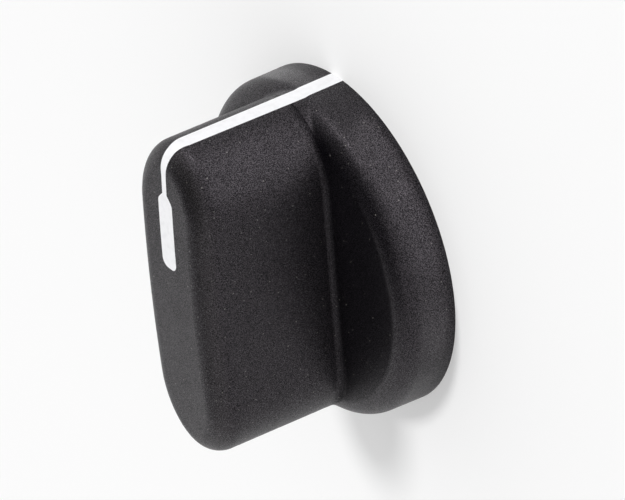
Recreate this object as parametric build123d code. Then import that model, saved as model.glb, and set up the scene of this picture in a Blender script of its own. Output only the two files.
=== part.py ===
from build123d import *
import math
import os

# Control knob of a cooker: a round skirt with a grip bar right across it, moulded in one hollow piece,
# a white pointer line let into its surface, and a spring clip in its shaft socket.
# Origin on the shaft axis in the plane of the panel, +Z away from the panel, pointer towards +Y.
# All sizes are in millimetres and degrees.

# Skirt, the round foot that stands on the panel
skirt_diameter = 44.0
skirt_height = 7.3
skirt_draft = 1.7
skirt_edge_radius = 2.75

# Grip bar, from rim to rim across the skirt
knob_height = 25.5
grip_width = 15.2
grip_nose_depth = 9.3
grip_flank_draft = 0.4
grip_end_draft = 0.8
grip_end_setback = 0.03
face_crown_radius = 306.0
face_edge_radius = 3.1
root_radius = 0.95

# Hollow back
wall = 2.0
face_wall = 2.2
core_edge_radius = 0.8
rib_thickness = 1.6
rib_recess = 2.4
boss_diameter = 12.4
boss_recess = 1.0

# Shaft that the knob is pushed onto, and the socket for it
shaft_diameter = 6.0
shaft_flat_offset = 1.6
shaft_clearance = 0.05
socket_depth = 15.5
lead_in_clearance = 0.25
lead_in_length = 4.0

# Spring clip beside the flat of the shaft
clip_thickness = 0.4
clip_width = 3.6
clip_side_gap = 0.1
clip_shaft_gap = 0.1
clip_preload = 0.15
clip_hook_length = 1.3
clip_hook_gap = 0.2
clip_bend_radius = 0.3
clip_bow_radius = 2.5
clip_bow_length = 9.0
clip_foot_gap = 0.2
clip_recess = 0.1

# Pointer line, flush with the surface
pointer_depth = 0.5
line_width = 2.35
line_top_width = 2.15
line_bend_width = 1.5
line_bend_setback = 0.7
neck_width = 0.95
neck_length = 2.4
bar_width = 3.0
bar_length = 10.2
bar_end_distance = 5.9
bar_shoulder = 1.0
bar_corner_radius = 1.1

# How far a cutting shape runs past what it cuts
overrun = 1.0

skirt_radius = skirt_diameter / 2
rim_height = skirt_height - skirt_edge_radius
socket_radius = shaft_diameter / 2 + shaft_clearance
lead_in_radius = shaft_diameter / 2 + lead_in_clearance


def slope(degrees):
    """Sideways step per unit of height of a drafted wall."""
    return math.tan(math.radians(degrees))


def grip_half_length(height):
    """From the axis to the end of the grip: just inside the rim, then leaning in with its draft."""
    rim_radius = skirt_radius - rim_height * slope(skirt_draft)
    return rim_radius - grip_end_setback + (rim_height - height) * slope(grip_end_draft)


def crown_height(distance):
    """Height of the crowned face at a distance from the axis along the grip."""
    return knob_height - face_crown_radius + math.sqrt(face_crown_radius**2 - distance**2)


def skirt_solid(inset, base):
    """The skirt from the height of its base, drawn in from the outside by an inset."""
    top = skirt_height - inset
    radius = skirt_radius - inset
    section = make_face(Polyline(
        (0, base),
        (radius - base * slope(skirt_draft), base),
        (radius - top * slope(skirt_draft), top),
        (0, top),
        close=True,
    ))
    corner = section.vertices().group_by(Axis.Y)[-1].sort_by(Axis.X)[-1]
    edge_radius = max(skirt_edge_radius - inset, core_edge_radius)
    return revolve(Plane.XZ * fillet(corner, edge_radius), Axis.Z)


def grip_section(height, inset):
    """Level cut through the grip: two flat flanks joined by half-ellipse noses."""
    half_width = grip_width / 2 - inset + (skirt_height - height) * slope(grip_flank_draft)
    nose_depth = grip_nose_depth - inset
    flank = grip_half_length(height) - inset - nose_depth
    outline = [
        Line((half_width, -flank), (half_width, flank)),
        EllipticalCenterArc((0, flank), half_width, nose_depth, 0, arc_size=180),
        Line((-half_width, flank), (-half_width, -flank)),
        EllipticalCenterArc((0, -flank), half_width, nose_depth, 180, arc_size=180),
    ]
    return Pos(0, 0, height) * make_face(outline)


def grip_solid(inset, top_inset, base):
    """The grip from the height of its base to its crowned face, drawn in by the insets."""
    sections = [grip_section(base, inset), grip_section(knob_height + overrun, inset)]
    crown_axis = Location((0, 0, knob_height - face_crown_radius), (0, 90, 0))
    crown = crown_axis * Cylinder(face_crown_radius - top_inset, 2 * grip_width)
    grip = loft(sections, ruled=True) & crown
    face_edges = grip.faces().sort_by(Axis.Z)[-1].edges()
    return fillet(face_edges, max(face_edge_radius - inset, core_edge_radius))


def outer_form():
    """The knob as if solid, with the root of the grip blended into the skirt."""
    skirt = skirt_solid(0, 0)
    grip = grip_solid(0, 0, rim_height / 2)
    knob = skirt + grip
    return fillet(new_edges(skirt, grip, combined=knob), root_radius)


def hollow_core():
    """The empty space behind the skirt and inside the grip, round the boss and the cross ribs."""
    core = skirt_solid(wall, -overrun) + grip_solid(wall, face_wall, -overrun)
    boss = Pos(0, 0, boss_recess) * extrude(Circle(boss_diameter / 2), knob_height)
    cross = Rectangle(skirt_diameter, rib_thickness) + Rectangle(rib_thickness, skirt_diameter)
    ribs = Pos(0, 0, rib_recess) * extrude(cross, knob_height)
    return core - boss - ribs


# Places along the clip's slot: distances from the axis towards -Y, and heights
clip_back = lead_in_radius + clip_shaft_gap + clip_thickness
clip_crest = shaft_flat_offset - clip_preload
clip_hook_end = clip_back + clip_hook_length
notch_floor = boss_recess + clip_recess + clip_thickness
bow_start = boss_recess + lead_in_length
bow_end = bow_start + clip_bow_length
slot_width = clip_width + 2 * clip_side_gap


def shaft_socket():
    """Round lead-in, then a D-shaped hole, with the slot and the hook's notch for the clip."""
    flat = shaft_flat_offset + clip_shaft_gap
    reach = socket_radius + flat
    keep = Pos(0, (socket_radius - flat) / 2) * Rectangle(2 * socket_radius, reach)
    d_hole = extrude(Circle(socket_radius) & keep, socket_depth)
    lead_in = Pos(0, 0, -overrun) * extrude(Circle(lead_in_radius), lead_in_length + overrun)
    socket = Pos(0, 0, boss_recess) * (d_hole + lead_in)
    bend_room = clip_bend_radius + clip_recess
    clip_room = make_face(Polyline(
        (0, boss_recess - overrun),
        (0, bow_end + clip_foot_gap),
        (-clip_back, bow_end + clip_foot_gap),
        (-clip_back, notch_floor + bend_room),
        (-clip_back - bend_room, notch_floor),
        (-clip_hook_end - clip_hook_gap, notch_floor),
        (-clip_hook_end - clip_hook_gap, boss_recess - overrun),
        close=True,
    ))
    return socket + extrude(Plane.YZ * clip_room, slot_width / 2, both=True)


def shaft_clip():
    """Spring leaf: a hook over the boss, a flat leg in the slot, and a bow that bears on the shaft."""
    leg = -clip_back + clip_thickness / 2
    crest = -clip_crest - clip_thickness / 2
    hook_height = notch_floor - clip_thickness / 2
    path = FilletPolyline(
        (-clip_hook_end, hook_height),
        (leg, hook_height),
        (leg, bow_start),
        (crest, (bow_start + bow_end) / 2),
        (leg + clip_foot_gap, bow_end),
        radius=[clip_bend_radius + clip_thickness / 2, clip_bow_radius, clip_bow_radius],
    )
    return extrude(Plane.YZ * trace(path, clip_thickness), clip_width / 2, both=True)


def pointer_limits():
    """Straight-through block that bounds the pointer seen from its end and from its face."""
    nose = grip_half_length(knob_height)
    corner = crown_height(nose) - face_edge_radius
    bend = nose - line_bend_setback
    bend_height = corner + math.sqrt(face_edge_radius**2 - (face_edge_radius - line_bend_setback)**2)
    end_view = make_face(Polyline(
        (-line_width / 2, -overrun),
        (-line_width / 2, skirt_height),
        (-line_top_width / 2, corner),
        (-line_bend_width / 2, bend_height),
        (-line_bend_width / 2, knob_height),
        (line_bend_width / 2, knob_height),
        (line_bend_width / 2, bend_height),
        (line_top_width / 2, corner),
        (line_width / 2, skirt_height),
        (line_width / 2, -overrun),
        close=True,
    ))
    end_block = extrude(Plane.XZ.offset(-bend) * end_view, bend - skirt_radius - overrun)
    bar_top = nose - bar_end_distance
    bar_foot = bar_top - bar_length
    neck_top = bar_top + neck_length
    stem = make_face(Polyline(
        (-line_bend_width / 2, bend),
        (-neck_width / 2, neck_top),
        (-neck_width / 2, bar_top - bar_shoulder),
        (neck_width / 2, bar_top - bar_shoulder),
        (neck_width / 2, neck_top),
        (line_bend_width / 2, bend),
        close=True,
    ))
    bar = make_face(Polyline(
        (-neck_width / 2, bar_top),
        (-bar_width / 2, bar_top - bar_shoulder),
        (-bar_width / 2, bar_foot),
        (bar_width / 2, bar_foot),
        (bar_width / 2, bar_top - bar_shoulder),
        (neck_width / 2, bar_top),
        close=True,
    ))
    bar = fillet(bar.vertices().group_by(Axis.Y)[0], bar_corner_radius)
    bar = fillet(bar.vertices().group_by(Axis.Y)[-2], bar_shoulder)
    face_block = Pos(0, 0, corner) * extrude(stem + bar, knob_height - corner + overrun)
    return end_block + face_block


def pointer_line(knob):
    """White infill that follows the knob's surface at an even depth."""
    beneath = skirt_solid(pointer_depth, -overrun) + grip_solid(pointer_depth, pointer_depth, rim_height / 2)
    return knob & pointer_limits() - beneath


knob = outer_form()
pointer = pointer_line(knob)
body = knob - hollow_core() - shaft_socket() - pointer
clip = shaft_clip()

os.makedirs("parts", exist_ok=True)
export_step(body, "parts/knob_body.step")
export_step(pointer, "parts/pointer_line.step")
export_step(clip, "parts/shaft_clip.step")
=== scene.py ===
import math

import bmesh
import bpy
from bpy.props import FloatProperty, FloatVectorProperty, PointerProperty
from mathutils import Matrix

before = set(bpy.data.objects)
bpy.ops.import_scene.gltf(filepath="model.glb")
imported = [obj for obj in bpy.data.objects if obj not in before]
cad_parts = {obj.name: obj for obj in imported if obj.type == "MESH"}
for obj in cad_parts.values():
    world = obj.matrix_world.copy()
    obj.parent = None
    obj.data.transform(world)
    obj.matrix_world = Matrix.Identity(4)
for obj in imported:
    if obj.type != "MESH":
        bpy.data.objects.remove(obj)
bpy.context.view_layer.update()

bl_info = {
    "name": "Control Knob Finish",
    "version": (1, 0, 0),
    "blender": (4, 5, 0),
    "location": "3D View > Sidebar > Knob",
    "description": "Finishes the control knob's moulding, pointer and spring clip, and sets its stage",
    "category": "Material",
}

MM = 0.001


def hex_colour(code):
    """Linear RGBA of an sRGB hex colour."""
    channels = [int(code[i:i + 2], 16) / 255 for i in (1, 3, 5)]
    linear = [c / 12.92 if c <= 0.04045 else ((c + 0.055) / 1.055) ** 2.4 for c in channels]
    return (*linear, 1.0)


def add_node(tree, kind, inputs=None, **settings):
    """One new node with its settings, and its inputs set to a value or linked from a socket."""
    node = tree.nodes.new(kind)
    for name, value in settings.items():
        setattr(node, name, value)
    for key, value in (inputs or {}).items():
        if isinstance(value, bpy.types.NodeSocket):
            tree.links.new(value, node.inputs[key])
        else:
            node.inputs[key].default_value = value
    return node


def new_material(name):
    """An empty material and its node tree."""
    material = bpy.data.materials.new(name)
    material.use_nodes = True
    material.node_tree.nodes.clear()
    return material, material.node_tree


def dress_node(name, material):
    """Give one of the frame's nodes its material in place of the plain one."""
    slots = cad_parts[name].material_slots
    if not slots:
        raise RuntimeError(f"{name} has no material slot")
    for slot in slots:
        slot.material = material


def add_panel(name, size, power, place, turn, shape="RECTANGLE"):
    """One panel of light that shows only as a sheen on gloss, not to the camera."""
    lamp = bpy.data.lights.new(name, "AREA")
    lamp.energy = power
    lamp.shape = shape
    lamp.size, lamp.size_y = size
    panel = bpy.data.objects.new(name, lamp)
    panel.location = place
    panel.rotation_euler = turn
    panel.visible_camera = False
    panel.visible_diffuse = False
    bpy.context.scene.collection.objects.link(panel)


class KnobPlasticSettings(bpy.types.PropertyGroup):
    """Finish of the black moulding."""

    colour: FloatVectorProperty(
        name="Colour", description="Black of the plastic on the crests of its grain",
        default=hex_colour("#19161c"), size=4, min=0, max=1, subtype="COLOR")
    pit_colour: FloatVectorProperty(
        name="Pit colour", description="Black of the plastic in the pits of its grain",
        default=hex_colour("#030304"), size=4, min=0, max=1, subtype="COLOR")
    # The dust colour also paints a highlight on the rounded edge of the face.
    dust_and_sheen_colour: FloatVectorProperty(
        name="Dust colour", description="Colour of the dust specks, and of the edge that fingers rub",
        default=hex_colour("#8b8884"), size=4, min=0, max=1, subtype="COLOR")
    gloss_colour: FloatVectorProperty(
        name="Gloss colour", description="Faint violet of the plastic's gloss",
        default=hex_colour("#fff5ff"), size=4, min=0, max=1, subtype="COLOR")
    grain_size: FloatProperty(
        name="Grain size", description="Width of one pit of the spark-eroded texture",
        default=0.09 * MM, min=0.01 * MM, unit="LENGTH", subtype="DISTANCE")
    grain_depth: FloatProperty(
        name="Grain depth", description="Depth of the spark-eroded texture",
        default=0.012 * MM, min=0, unit="LENGTH", subtype="DISTANCE")
    mottle_size: FloatProperty(
        name="Mottle size", description="Width of the patches where the texture is a little smoother",
        default=3.0 * MM, min=0.1 * MM, unit="LENGTH", subtype="DISTANCE")
    dust_spacing: FloatProperty(
        name="Dust spacing", description="Mean distance between specks of dust",
        default=0.85 * MM, min=0.1 * MM, unit="LENGTH", subtype="DISTANCE")
    dust_radius: FloatProperty(
        name="Dust radius", description="Radius of the largest specks of dust",
        default=0.12 * MM, min=0, unit="LENGTH", subtype="DISTANCE")
    dust_strength: FloatProperty(
        name="Dust strength", description="How far the strongest specks cover the plastic",
        default=0.72, min=0, max=1, subtype="FACTOR")
    # Settings for the paler band on the face's rounded edge: wear, and a painted highlight.
    rub_sheen_height: FloatProperty(
        name="Rub height", description="Height above which the edge of the face is rubbed paler",
        default=23.0 * MM, min=0, unit="LENGTH", subtype="DISTANCE")
    rub_sheen_fade: FloatProperty(
        name="Rub fade", description="Height below that over which the rubbing fades out",
        default=2.0 * MM, min=0.1 * MM, unit="LENGTH", subtype="DISTANCE")
    rub_sheen_share: FloatProperty(
        name="Rub share", description="How far the rubbed edge turns to the dust's colour",
        default=0.07, min=0, max=1, subtype="FACTOR")
    # Settings for painted shade: a belt of cut gloss in the hollow at the grip's root.
    root_height: FloatProperty(
        name="Root height", description="Height of the skirt's top, where the dull belt starts",
        default=7.35 * MM, min=0, unit="LENGTH", subtype="DISTANCE")
    root_shade_belt: FloatProperty(
        name="Root belt", description="Height of the belt that grease dulls",
        default=1.0 * MM, min=0.1 * MM, unit="LENGTH", subtype="DISTANCE")
    root_shade_gloss: FloatProperty(
        name="Root shine", description="Share of the gloss that is left in the belt",
        default=0.28, min=0, max=1, subtype="FACTOR")


class KnobPointerSettings(bpy.types.PropertyGroup):
    """Finish of the white pointer line."""

    colour: FloatVectorProperty(
        name="Colour", description="White of the infill",
        default=hex_colour("#f1f1f3"), size=4, min=0, max=1, subtype="COLOR")
    shade_colour: FloatVectorProperty(
        name="Shade colour", description="White of the infill where it is thinner or handled",
        default=hex_colour("#e9e9eb"), size=4, min=0, max=1, subtype="COLOR")
    mottle_size: FloatProperty(
        name="Mottle size", description="Width of the slightly darker patches",
        default=0.9 * MM, min=0.1 * MM, unit="LENGTH", subtype="DISTANCE")


class KnobClipSettings(bpy.types.PropertyGroup):
    """Finish of the spring clip."""

    colour: FloatVectorProperty(
        name="Colour", description="Grey of the rolled spring steel",
        default=hex_colour("#b9babd"), size=4, min=0, max=1, subtype="COLOR")
    oil_colour: FloatVectorProperty(
        name="Oil colour", description="Tint where oil darkened the strip in tempering",
        default=hex_colour("#77726c"), size=4, min=0, max=1, subtype="COLOR")
    line_spacing: FloatProperty(
        name="Line spacing", description="Distance between the rolling lines",
        default=0.12 * MM, min=0.01 * MM, unit="LENGTH", subtype="DISTANCE")
    line_depth: FloatProperty(
        name="Line depth", description="Depth of the rolling lines",
        default=0.004 * MM, min=0, unit="LENGTH", subtype="DISTANCE")
    stain_size: FloatProperty(
        name="Stain size", description="Width of the oil stains",
        default=2.4 * MM, min=0.1 * MM, unit="LENGTH", subtype="DISTANCE")


class KnobStageSettings(bpy.types.PropertyGroup):
    """Floor, light and camera round the knob."""

    floor_radius: FloatProperty(
        name="Floor radius", description="Radius of the round floor",
        default=6.0, min=0.5, unit="LENGTH", subtype="DISTANCE")
    floor_colour: FloatVectorProperty(
        name="Floor colour", description="Colour of the pale floor",
        default=hex_colour("#fafafa"), size=4, min=0, max=1, subtype="COLOR")
    floor_glow: FloatProperty(
        name="Floor glow", description="Share of plain white in the floor, which lightens the shadow on it",
        default=0.28, min=0, max=1, subtype="FACTOR")
    tent_light: FloatProperty(
        name="Tent light", description="Light of the tent's white walls", default=1.0, min=0)
    gap_light: FloatProperty(
        name="Gap light", description="Light from where the tent is open", default=0.1, min=0)
    gap_direction: FloatVectorProperty(
        name="Gap direction", description="Where the tent is open, nearly straight up",
        default=(0.08, 0.2, 0.976), size=3, subtype="DIRECTION")
    gap_edges: FloatVectorProperty(
        name="Gap edges", description="Cosines of the angles at which the gap starts and is full",
        default=(0.58, 0.9), size=2, min=-1, max=1, subtype="XYZ")
    key_light: FloatProperty(
        name="Key light", description="Light of the lamp above, which casts the shadow",
        default=1.48, min=0)
    key_spread: FloatProperty(
        name="Key spread", description="Angle that the lamp above fills",
        default=math.radians(15), min=0, unit="ROTATION", subtype="ANGLE")
    key_turn: FloatVectorProperty(
        name="Key turn", description="Direction of the lamp above",
        default=(math.radians(33), 0, math.radians(188)), size=3, unit="ROTATION", subtype="EULER")
    panel_light: FloatProperty(
        name="Panel light", description="Power of the round panel that lies before the pointer's end",
        default=0.022, min=0, unit="POWER")
    panel_size: FloatProperty(
        name="Panel size", description="Width of the round panel",
        default=80 * MM, min=10 * MM, unit="LENGTH", subtype="DISTANCE")
    panel_place: FloatVectorProperty(
        name="Panel place", description="Middle of the round panel",
        default=(44 * MM, 58 * MM, 0.5 * MM), size=3, unit="LENGTH", subtype="TRANSLATION")
    strip_lights: FloatVectorProperty(
        name="Strip lights", description="Power of each of the strips that lie along the rim",
        default=(0.0002, 0.00042, 0.00044, 0.0002), size=4, min=0, unit="POWER")
    strip_size: FloatVectorProperty(
        name="Strip size", description="Width and length of a strip",
        default=(7 * MM, 15 * MM), size=2, unit="LENGTH", subtype="XYZ")
    strip_distance: FloatProperty(
        name="Strip distance", description="From the knob's axis to the middle of a strip",
        default=26.5 * MM, min=0, unit="LENGTH", subtype="DISTANCE")
    strip_height: FloatProperty(
        name="Strip height", description="Height of the strips above the floor",
        default=0.5 * MM, min=0, unit="LENGTH", subtype="DISTANCE")
    strip_turns: FloatVectorProperty(
        name="Strip turns", description="How far each strip is turned round the rim",
        default=[math.radians(turn) for turn in (-6, 28, 58, 117)], size=4, unit="ROTATION")
    shoulder_light: FloatProperty(
        name="Shoulder light", description="Power of the upright panel that edges the skirt's shoulder",
        default=0.02, min=0, unit="POWER")
    shoulder_size: FloatVectorProperty(
        name="Shoulder size", description="Width and height of the upright panel",
        default=(70 * MM, 14 * MM), size=2, unit="LENGTH", subtype="XYZ")
    shoulder_place: FloatVectorProperty(
        name="Shoulder place", description="Middle of the upright panel",
        default=(6 * MM, 110 * MM, 26 * MM), size=3, unit="LENGTH", subtype="TRANSLATION")
    camera_place: FloatVectorProperty(
        name="Camera place", description="Where the camera stands",
        default=(0.308256, 0.227591, 0.194555), size=3, unit="LENGTH", subtype="TRANSLATION")
    camera_turn: FloatVectorProperty(
        name="Camera turn", description="How the camera is turned",
        default=(math.radians(-38.3437), math.radians(55.6659), math.radians(-7.3028)),
        size=3, unit="ROTATION", subtype="EULER")
    camera_lens: FloatProperty(
        name="Camera lens", description="Focal length on a 36 mm wide frame",
        default=202.0, min=1, unit="CAMERA")


class KNOB_OT_finish_body(bpy.types.Operator):
    """Give the moulded body its spark-eroded black plastic"""

    bl_idname = "knob.finish_body"
    bl_label = "Moulded Body"

    def execute(self, context):
        look = context.scene.knob_plastic
        # Black ABS from a spark-eroded mould: a fine even grain of pits that breaks up every highlight,
        # a trace of dust caught in it, and slightly smoother patches from handling. The real grain is
        # about 0.05 mm wide, too fine to show here, so it is drawn as coarse as the picture needs.
        material, tree = new_material("spark_eroded_black_abs")
        place = add_node(tree, "ShaderNodeTexCoord").outputs["Object"]
        # Turned out of line with the flat flanks, where the pattern would otherwise fade in bands.
        askew = add_node(tree, "ShaderNodeMapping", {
            "Vector": place, "Rotation": (0.5, 0.7, 0.3)}).outputs["Vector"]
        grain = add_node(tree, "ShaderNodeTexNoise", {
            "Vector": askew, "Scale": 1 / look.grain_size, "Detail": 2.0, "Roughness": 0.6})
        mottle = add_node(tree, "ShaderNodeTexNoise", {
            "Vector": place, "Scale": 1 / look.mottle_size, "Detail": 4.0, "Roughness": 0.55})
        plastic = add_node(tree, "ShaderNodeValToRGB", {"Fac": grain.outputs["Fac"]})
        plastic.color_ramp.elements[0].position = 0.45
        plastic.color_ramp.elements[0].color = look.pit_colour
        plastic.color_ramp.elements[1].position = 0.75
        plastic.color_ramp.elements[1].color = look.colour

        cell = add_node(tree, "ShaderNodeTexVoronoi", {"Vector": askew, "Scale": 1 / look.dust_spacing})
        speck_size = look.dust_radius / look.dust_spacing
        speck = add_node(tree, "ShaderNodeMapRange", {
            "Value": cell.outputs["Distance"], "From Min": 0.3 * speck_size, "From Max": speck_size,
            "To Min": 1.0, "To Max": 0.0}, interpolation_type="SMOOTHSTEP")
        chance = add_node(tree, "ShaderNodeSeparateColor", {"Color": cell.outputs["Color"]})
        strength = add_node(tree, "ShaderNodeMapRange", {
            "Value": chance.outputs["Red"], "From Min": 0.3, "To Max": look.dust_strength})
        dust = add_node(tree, "ShaderNodeMath", {
            0: speck.outputs["Result"], 1: strength.outputs["Result"]}, operation="MULTIPLY")
        dusty = add_node(tree, "ShaderNodeMix", {
            0: dust.outputs["Value"], 6: plastic.outputs["Color"], 7: look.dust_and_sheen_colour}, data_type="RGBA")

        # Fingers rub the rounded edge of the face a little paler, and this paler band is also a painted
        # highlight on that edge.
        height = add_node(tree, "ShaderNodeSeparateXYZ", {"Vector": place}).outputs["Z"]
        upright = add_node(tree, "ShaderNodeSeparateXYZ", {
            "Vector": add_node(tree, "ShaderNodeNewGeometry").outputs["True Normal"]}).outputs["Z"]
        near_face = add_node(tree, "ShaderNodeMapRange", {
            "Value": height, "From Min": look.rub_sheen_height - look.rub_sheen_fade, "From Max": look.rub_sheen_height})
        turned = add_node(tree, "ShaderNodeMapRange", {
            "Value": upright, "From Min": 0.2, "From Max": 0.6}, interpolation_type="SMOOTHSTEP")
        level = add_node(tree, "ShaderNodeMapRange", {
            "Value": upright, "From Min": 0.8, "From Max": 0.99, "To Min": 1.0, "To Max": 0.0})
        rub_and_sheen = add_node(tree, "ShaderNodeMath", {
            0: near_face.outputs["Result"], 1: turned.outputs["Result"]}, operation="MULTIPLY")
        rub_and_sheen = add_node(tree, "ShaderNodeMath", {
            0: rub_and_sheen.outputs["Value"], 1: level.outputs["Result"]}, operation="MULTIPLY")
        rub_and_sheen = add_node(tree, "ShaderNodeMath", {
            0: rub_and_sheen.outputs["Value"], 1: grain.outputs["Fac"]}, operation="MULTIPLY")
        rub_and_sheen = add_node(tree, "ShaderNodeMath", {
            0: rub_and_sheen.outputs["Value"], 1: look.rub_sheen_share}, operation="MULTIPLY")
        # Mixes the paler band in: wear and a painted highlight on the face's edge.
        handled = add_node(tree, "ShaderNodeMix", {
            0: rub_and_sheen.outputs["Value"], 6: dusty.outputs[2], 7: look.dust_and_sheen_colour}, data_type="RGBA")

        grain_gloss = add_node(tree, "ShaderNodeMapRange", {
            "Value": grain.outputs["Fac"], "From Min": 0.3, "From Max": 0.7,
            "To Min": 0.08, "To Max": -0.04})
        gloss = add_node(tree, "ShaderNodeMapRange", {
            "Value": mottle.outputs["Fac"], "From Min": 0.3, "From Max": 0.7,
            "To Min": 0.36, "To Max": 0.42})
        roughness = add_node(tree, "ShaderNodeMath", {
            0: gloss.outputs["Result"], 1: grain_gloss.outputs["Result"]}, operation="ADD")
        sparkle = add_node(tree, "ShaderNodeMapRange", {
            "Value": grain.outputs["Fac"], "From Min": 0.45, "From Max": 0.64,
            "To Min": 0.12, "To Max": 1.0}, interpolation_type="SMOOTHSTEP")
        # Painted shade: the gloss is cut in the hollow at the root of the grip, a narrow belt just above
        # the skirt, where shade falls.
        unshaded_above = add_node(tree, "ShaderNodeMapRange", {
            "Value": height, "From Min": look.root_height, "From Max": look.root_height + look.root_shade_belt})
        unshaded_below = add_node(tree, "ShaderNodeMapRange", {
            "Value": height, "From Min": look.root_height - 0.1 * look.root_shade_belt,
            "From Max": look.root_height, "To Min": 1.0, "To Max": 0.0})
        clean = add_node(tree, "ShaderNodeMath", {
            0: unshaded_above.outputs["Result"], 1: unshaded_below.outputs["Result"]}, operation="ADD")
        shine = add_node(tree, "ShaderNodeMapRange", {
            "Value": clean.outputs["Value"], "To Min": look.root_shade_gloss, "To Max": 1.0})
        # The grain's gloss is cut in the belt, which paints shade into the hollow.
        sparkle = add_node(tree, "ShaderNodeMath", {
            0: sparkle.outputs["Result"], 1: shine.outputs["Result"]}, operation="MULTIPLY")
        relief = add_node(tree, "ShaderNodeBump", {
            "Height": grain.outputs["Fac"], "Distance": look.grain_depth, "Strength": 1.0})
        surface = add_node(tree, "ShaderNodeBsdfPrincipled", {
            "Base Color": handled.outputs[2], "Roughness": roughness.outputs["Value"],
            "Normal": relief.outputs["Normal"], "IOR": 1.5, "Specular Tint": look.gloss_colour,
            "Specular IOR Level": sparkle.outputs["Value"]})
        add_node(tree, "ShaderNodeOutputMaterial", {"Surface": surface.outputs["BSDF"]})
        dress_node("knob_body", material)
        return {"FINISHED"}


class KNOB_OT_finish_pointer(bpy.types.Operator):
    """Give the pointer line its white infill"""

    bl_idname = "knob.finish_pointer"
    bl_label = "Pointer Line"

    def execute(self, context):
        look = context.scene.knob_pointer
        # White ABS second shot, moulded flush: clean satin white, only faintly uneven from handling.
        material, tree = new_material("satin_white_abs")
        place = add_node(tree, "ShaderNodeTexCoord").outputs["Object"]
        mottle = add_node(tree, "ShaderNodeTexNoise", {
            "Vector": place, "Scale": 1 / look.mottle_size, "Detail": 4.0, "Roughness": 0.6})
        tone = add_node(tree, "ShaderNodeValToRGB", {"Fac": mottle.outputs["Fac"]})
        tone.color_ramp.elements[0].position = 0.3
        tone.color_ramp.elements[0].color = look.shade_colour
        tone.color_ramp.elements[1].position = 0.55
        tone.color_ramp.elements[1].color = look.colour
        roughness = add_node(tree, "ShaderNodeMapRange", {
            "Value": mottle.outputs["Fac"], "From Min": 0.3, "From Max": 0.7,
            "To Min": 0.48, "To Max": 0.38})
        surface = add_node(tree, "ShaderNodeBsdfPrincipled", {
            "Base Color": tone.outputs["Color"], "Roughness": roughness.outputs["Result"], "IOR": 1.52})
        add_node(tree, "ShaderNodeOutputMaterial", {"Surface": surface.outputs["BSDF"]})
        dress_node("pointer_line", material)
        return {"FINISHED"}


class KNOB_OT_finish_clip(bpy.types.Operator):
    """Give the spring clip its rolled and tempered steel"""

    bl_idname = "knob.finish_clip"
    bl_label = "Spring Clip"

    def execute(self, context):
        look = context.scene.knob_clip
        # Rolled and oil-tempered spring steel: fine lines along the strip, with faint brown oil stains.
        # Real rolling lines are some hundredths of a millimetre apart, so these are drawn coarser to show.
        material, tree = new_material("rolled_spring_steel")
        place = add_node(tree, "ShaderNodeTexCoord").outputs["Object"]
        along = add_node(tree, "ShaderNodeMapping", {"Vector": place, "Scale": (1.0, 0.05, 0.05)})
        lines = add_node(tree, "ShaderNodeTexNoise", {
            "Vector": along.outputs["Vector"], "Scale": 1 / look.line_spacing, "Detail": 3.0})
        stain = add_node(tree, "ShaderNodeTexNoise", {
            "Vector": place, "Scale": 1 / look.stain_size, "Detail": 3.0})
        tone = add_node(tree, "ShaderNodeValToRGB", {"Fac": stain.outputs["Fac"]})
        tone.color_ramp.elements[0].position = 0.35
        tone.color_ramp.elements[0].color = look.oil_colour
        tone.color_ramp.elements[1].position = 0.6
        tone.color_ramp.elements[1].color = look.colour
        roughness = add_node(tree, "ShaderNodeMapRange", {
            "Value": lines.outputs["Fac"], "From Min": 0.3, "From Max": 0.7, "To Min": 0.24, "To Max": 0.4})
        relief = add_node(tree, "ShaderNodeBump", {
            "Height": lines.outputs["Fac"], "Distance": look.line_depth, "Strength": 1.0})
        surface = add_node(tree, "ShaderNodeBsdfPrincipled", {
            "Base Color": tone.outputs["Color"], "Metallic": 1.0, "Roughness": roughness.outputs["Result"],
            "Normal": relief.outputs["Normal"]})
        add_node(tree, "ShaderNodeOutputMaterial", {"Surface": surface.outputs["BSDF"]})
        dress_node("shaft_clip", material)
        return {"FINISHED"}


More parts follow.
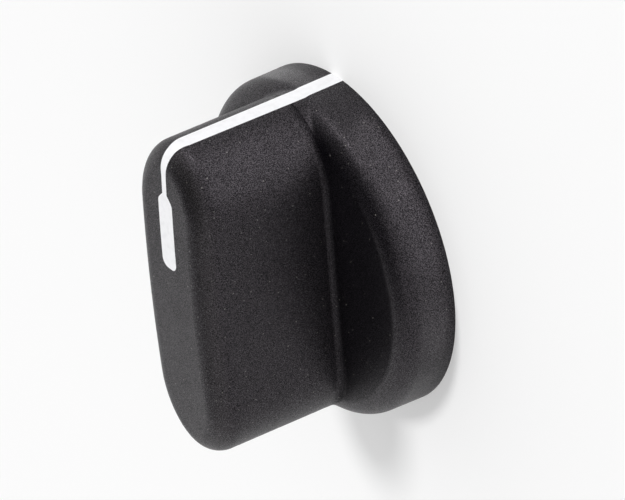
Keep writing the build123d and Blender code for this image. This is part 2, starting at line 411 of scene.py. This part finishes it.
class KNOB_OT_set_stage(bpy.types.Operator):
    """Set the pale floor, the soft light and the camera"""

    bl_idname = "knob.set_stage"
    bl_label = "Stage"

    def execute(self, context):
        scene = context.scene
        setting = scene.knob_stage
        scene.view_settings.view_transform = "Standard"

        mesh = bpy.data.meshes.new("pale_floor")
        form = bmesh.new()
        bmesh.ops.create_circle(form, cap_ends=True, segments=96, radius=setting.floor_radius)
        form.to_mesh(mesh)
        form.free()
        floor = bpy.data.objects.new("pale_floor", mesh)
        scene.collection.objects.link(floor)
        # Matte white card: takes a light shadow and throws white light back up at the rim.
        material, tree = new_material("matte_white_card")
        card = add_node(tree, "ShaderNodeBsdfPrincipled", {
            "Base Color": setting.floor_colour, "Roughness": 0.9, "Specular IOR Level": 0.0})
        glow = add_node(tree, "ShaderNodeEmission", {"Color": (1.0, 1.0, 1.0, 1.0), "Strength": 1.0})
        path = add_node(tree, "ShaderNodeLightPath")
        seen = add_node(tree, "ShaderNodeMath", {
            0: path.outputs["Is Camera Ray"], 1: path.outputs["Is Glossy Ray"]}, operation="MAXIMUM")
        seen = add_node(tree, "ShaderNodeMath", {
            0: seen.outputs["Value"], 1: path.outputs["Is Transmission Ray"]}, operation="MAXIMUM")
        share = add_node(tree, "ShaderNodeMath", {
            0: seen.outputs["Value"], 1: setting.floor_glow}, operation="MULTIPLY")
        surface = add_node(tree, "ShaderNodeMixShader", {
            "Fac": share.outputs["Value"], 1: card.outputs["BSDF"], 2: glow.outputs["Emission"]})
        add_node(tree, "ShaderNodeOutputMaterial", {"Surface": surface.outputs["Shader"]})
        mesh.materials.append(material)

        # White light tent, open at the top, so that gloss fades to dark there.
        world = bpy.data.worlds.new("light_tent")
        world.use_nodes = True
        tree = world.node_tree
        tree.nodes.clear()
        towards = add_node(tree, "ShaderNodeTexCoord").outputs["Object"]
        openness = add_node(tree, "ShaderNodeVectorMath", {
            0: towards, 1: setting.gap_direction}, operation="DOT_PRODUCT")
        strength = add_node(tree, "ShaderNodeMapRange", {
            "Value": openness.outputs["Value"],
            "From Min": setting.gap_edges[0], "From Max": setting.gap_edges[1],
            "To Min": setting.tent_light, "To Max": setting.gap_light}, interpolation_type="SMOOTHSTEP")
        tent = add_node(tree, "ShaderNodeBackground", {
            "Color": (1.0, 1.0, 1.0, 1.0), "Strength": strength.outputs["Result"]})
        add_node(tree, "ShaderNodeOutputWorld", {"Surface": tent.outputs["Background"]})
        scene.world = world

        lamp = bpy.data.lights.new("key_above", "SUN")
        lamp.energy = setting.key_light
        lamp.angle = setting.key_spread
        key = bpy.data.objects.new("key_above", lamp)
        key.rotation_euler = setting.key_turn
        key.visible_glossy = False
        scene.collection.objects.link(key)

        add_panel("round_panel", (setting.panel_size, setting.panel_size), setting.panel_light,
                  setting.panel_place, (math.pi, 0.0, 0.0), "ELLIPSE")
        for power, turn in zip(setting.strip_lights, setting.strip_turns):
            along = setting.strip_distance * math.cos(turn)
            across = setting.strip_distance * math.sin(turn)
            add_panel("rim_strip", setting.strip_size, power,
                      (along, across, setting.strip_height), (math.pi, 0.0, turn))
        add_panel("shoulder_panel", setting.shoulder_size, setting.shoulder_light,
                  setting.shoulder_place, (-math.pi / 2, 0.0, 0.0))

        lens = bpy.data.cameras.new("camera")
        lens.sensor_fit = "HORIZONTAL"
        lens.sensor_width = 36.0
        lens.lens = setting.camera_lens
        lens.clip_start = 0.01
        camera = bpy.data.objects.new("camera", lens)
        camera.location = setting.camera_place
        camera.rotation_euler = setting.camera_turn
        scene.collection.objects.link(camera)
        scene.camera = camera
        return {"FINISHED"}


class KNOB_PT_finish(bpy.types.Panel):
    """Sizes, colours and steps of the knob's finish"""

    bl_idname = "KNOB_PT_finish"
    bl_label = "Control Knob"
    bl_space_type = "VIEW_3D"
    bl_region_type = "UI"
    bl_category = "Knob"

    def draw(self, context):
        for settings, operator in STEPS:
            box = self.layout.box()
            group = getattr(context.scene, settings)
            for name in group.__annotations__:
                box.prop(group, name)
            box.operator(operator.bl_idname)


GROUPS = {
    "knob_plastic": KnobPlasticSettings,
    "knob_pointer": KnobPointerSettings,
    "knob_clip": KnobClipSettings,
    "knob_stage": KnobStageSettings,
}
STEPS = (
    ("knob_plastic", KNOB_OT_finish_body),
    ("knob_pointer", KNOB_OT_finish_pointer),
    ("knob_clip", KNOB_OT_finish_clip),
    ("knob_stage", KNOB_OT_set_stage),
)
CLASSES = (*GROUPS.values(), *(operator for _, operator in STEPS), KNOB_PT_finish)


def register():
    for cls in CLASSES:
        bpy.utils.register_class(cls)
    for name, group in GROUPS.items():
        setattr(bpy.types.Scene, name, PointerProperty(type=group))


def unregister():
    for name in GROUPS:
        delattr(bpy.types.Scene, name)
    for cls in reversed(CLASSES):
        bpy.utils.unregister_class(cls)


def main():
    register()
    bpy.ops.knob.finish_body()
    bpy.ops.knob.finish_pointer()
    bpy.ops.knob.finish_clip()
    bpy.ops.knob.set_stage()


if __name__ == "__main__":
    main()
